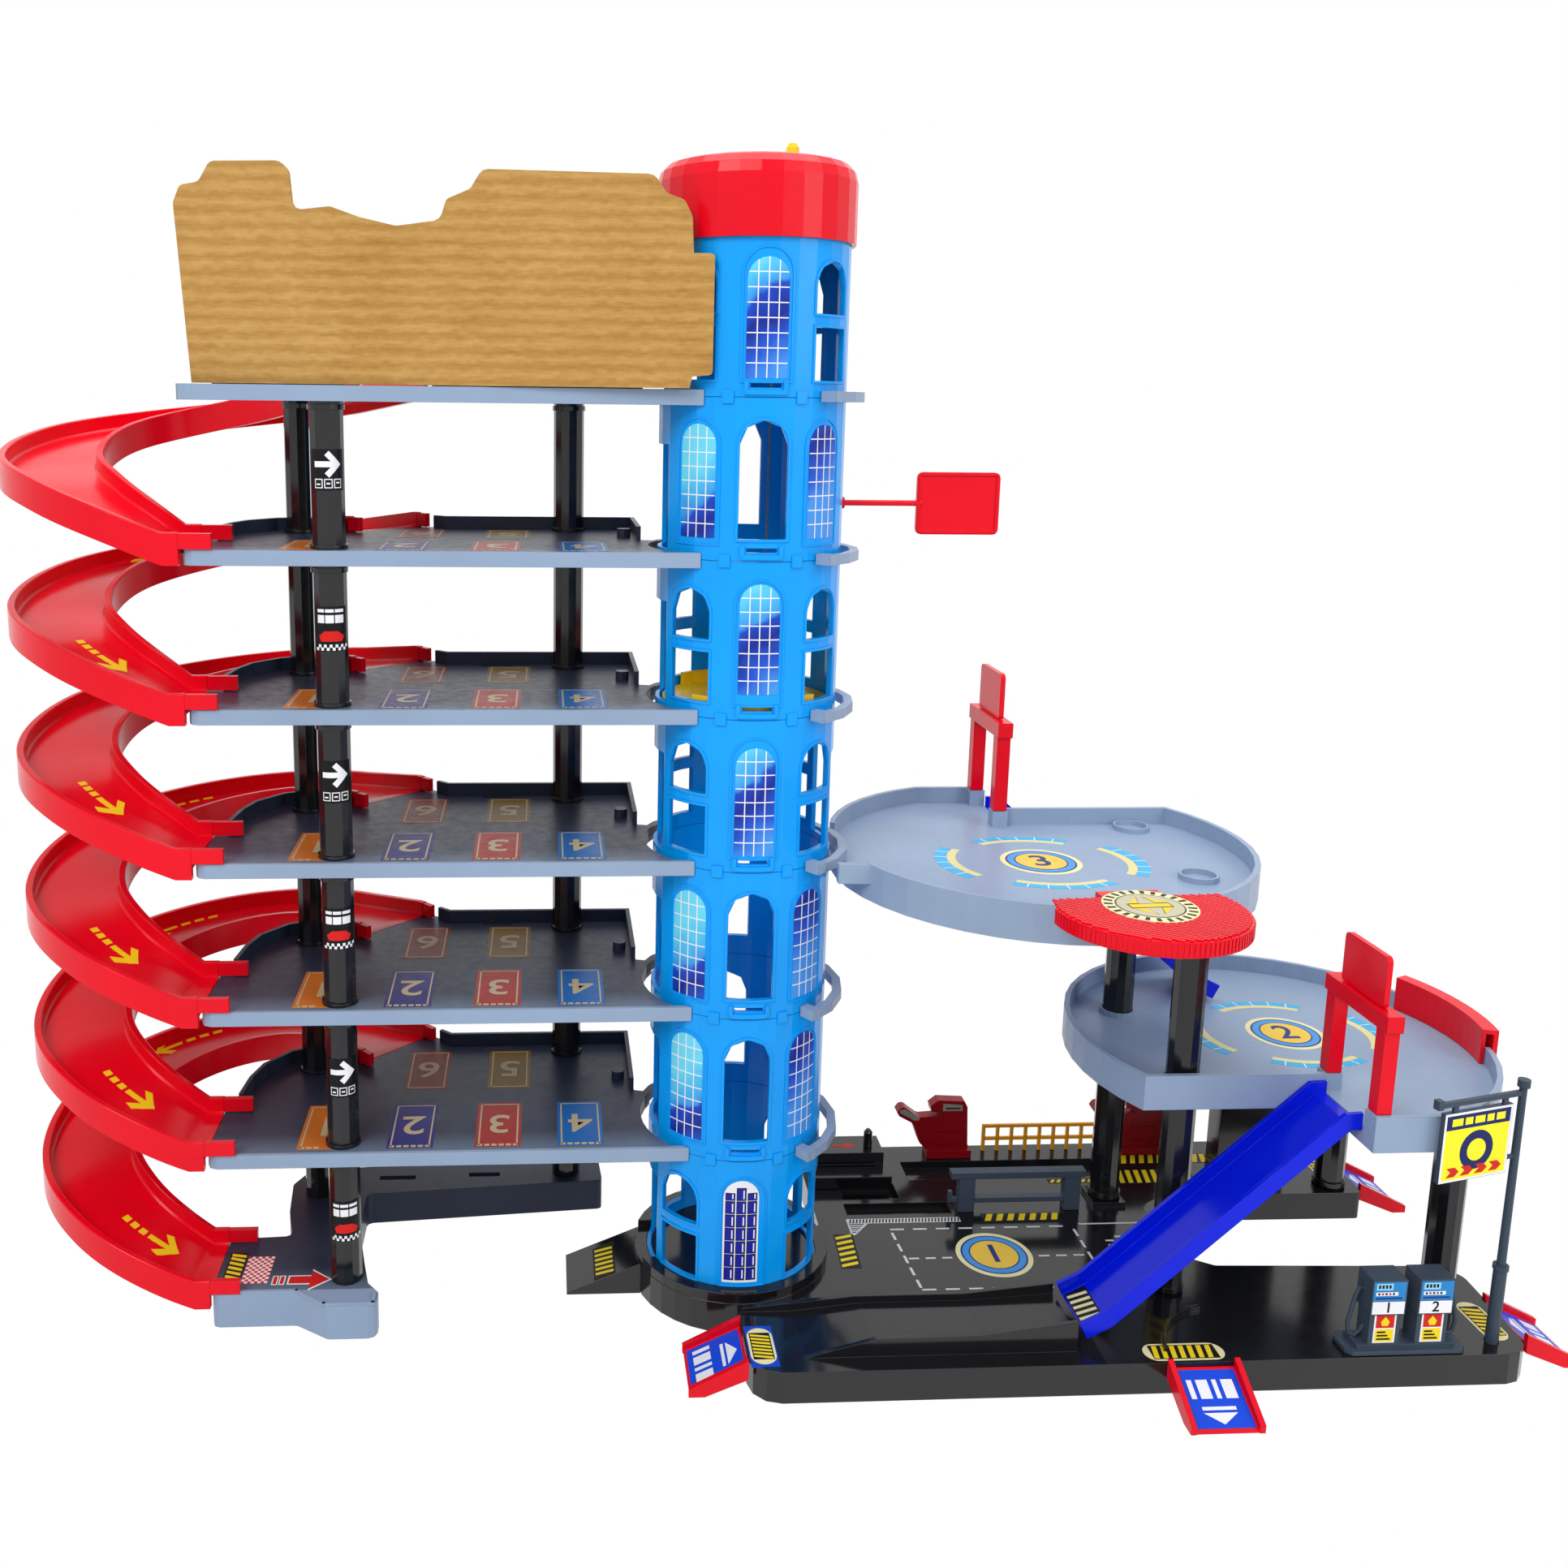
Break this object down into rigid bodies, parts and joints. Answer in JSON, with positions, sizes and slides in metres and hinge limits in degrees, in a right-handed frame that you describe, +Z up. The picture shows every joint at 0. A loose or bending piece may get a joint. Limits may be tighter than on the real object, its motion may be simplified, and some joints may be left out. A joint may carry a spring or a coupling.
{
  "type": "toy garage",
  "caption": "Toy parking garage: round lift tower joined to stacked parking decks with a spiral ramp, and to a base with round trays, slides, gates and roadside pieces.",
  "frame": {"origin": "on the lift tower's axis, at the floor: the flat end of the rest post under the tower's foot", "axes": "+X along the front, from the decks towards the trays; +Y away from the viewer; +Z up"},
  "size_m": [0.8724, 0.366, 0.6485],
  "materials": {
    "slate_plastic": "satin moulded",
    "red_plastic": "gloss moulded",
    "dark_red_plastic": "satin moulded",
    "blue_plastic": "gloss moulded",
    "deep_blue_plastic": "gloss moulded",
    "black_plastic": "gloss moulded",
    "dark_slate_plastic": "satin moulded",
    "yellow_plastic": "gloss moulded",
    "orange_plastic": "satin moulded",
    "cardboard": "raw corrugated board",
    "cord": "twisted cord"
  },
  "bodies": {
    "garage": {"left_base": "slate_plastic", "deck_1": "slate_plastic", "ramp_1": "red_plastic", "deck_2": "slate_plastic", "ramp_2": "red_plastic", "deck_3": "slate_plastic", "ramp_3": "red_plastic", "deck_4": "slate_plastic", "ramp_4": "red_plastic", "deck_5": "slate_plastic", "ramp_5": "red_plastic", "deck_6": "slate_plastic", "ramp_6": "red_plastic", "column_front_left": "black_plastic", "column_back_left": "black_plastic", "column_back_right": "black_plastic", "column_a": "black_plastic", "column_b": "black_plastic", "column_right_front": "black_plastic", "column_right_rear": "black_plastic", "rear_block": "black_plastic", "right_base": "black_plastic", "tower_slope": "black_plastic", "platform": "black_plastic", "platform_post": "black_plastic", "backdrop": "cardboard", "tower_1": "blue_plastic", "tower_2": "blue_plastic", "tower_3": "blue_plastic", "tower_4": "blue_plastic", "tower_5": "blue_plastic", "tower_6": "blue_plastic", "tower_7": "blue_plastic", "cap": "red_plastic", "cord_bridge": "yellow_plastic", "lift_cord": "cord", "tray_2": "slate_plastic", "tray_3": "slate_plastic", "slide_front": "deep_blue_plastic", "slide_rear": "deep_blue_plastic", "helipad": "red_plastic", "guard": "red_plastic", "gate_2": "red_plastic", "gate_3": "red_plastic", "sign_2": "red_plastic", "sign_3": "red_plastic", "fuel_station": "dark_slate_plastic", "exit_left": "red_plastic", "exit_front": "red_plastic", "exit_right": "red_plastic", "exit_rear": "red_plastic", "fence": "orange_plastic", "kiosk_1": "dark_red_plastic", "kiosk_2": "dark_red_plastic", "bench": "dark_slate_plastic"},
    "lift": {"lift_car": "yellow_plastic"},
    "crank": {"crank": "yellow_plastic"},
    "flag": {"flag": "red_plastic"},
    "sign_post": {"sign_post": "dark_slate_plastic"}
  },
  "joints": [
    {"name": "lift_slide", "type": "slide", "parent": "garage", "child": "lift", "axis": [0, 0, 1], "range_m": [-0.332, 0.167], "deforming": ["lift_cord"]},
    {"name": "crank_turn", "type": "hinge", "parent": "garage", "child": "crank", "pos_m": [0, 0, 0.6375], "axis": [0, 0, 1], "range_deg": [-2115, 1065]},
    {"name": "flag_turn", "type": "hinge", "parent": "garage", "child": "flag", "pos_m": [0.05, 0, 0.4615], "axis": [1, 0, 0], "continuous": true},
    {"name": "sign_post_turn", "type": "hinge", "parent": "garage", "child": "sign_post", "pos_m": [0.402, -0.105, 0], "axis": [0, 0, 1], "range_deg": [0, 175]}
  ],
  "couplings": [
    {"joint": "crank_turn", "follows": "lift_slide", "rad_per_m": 111.11}
  ]
}
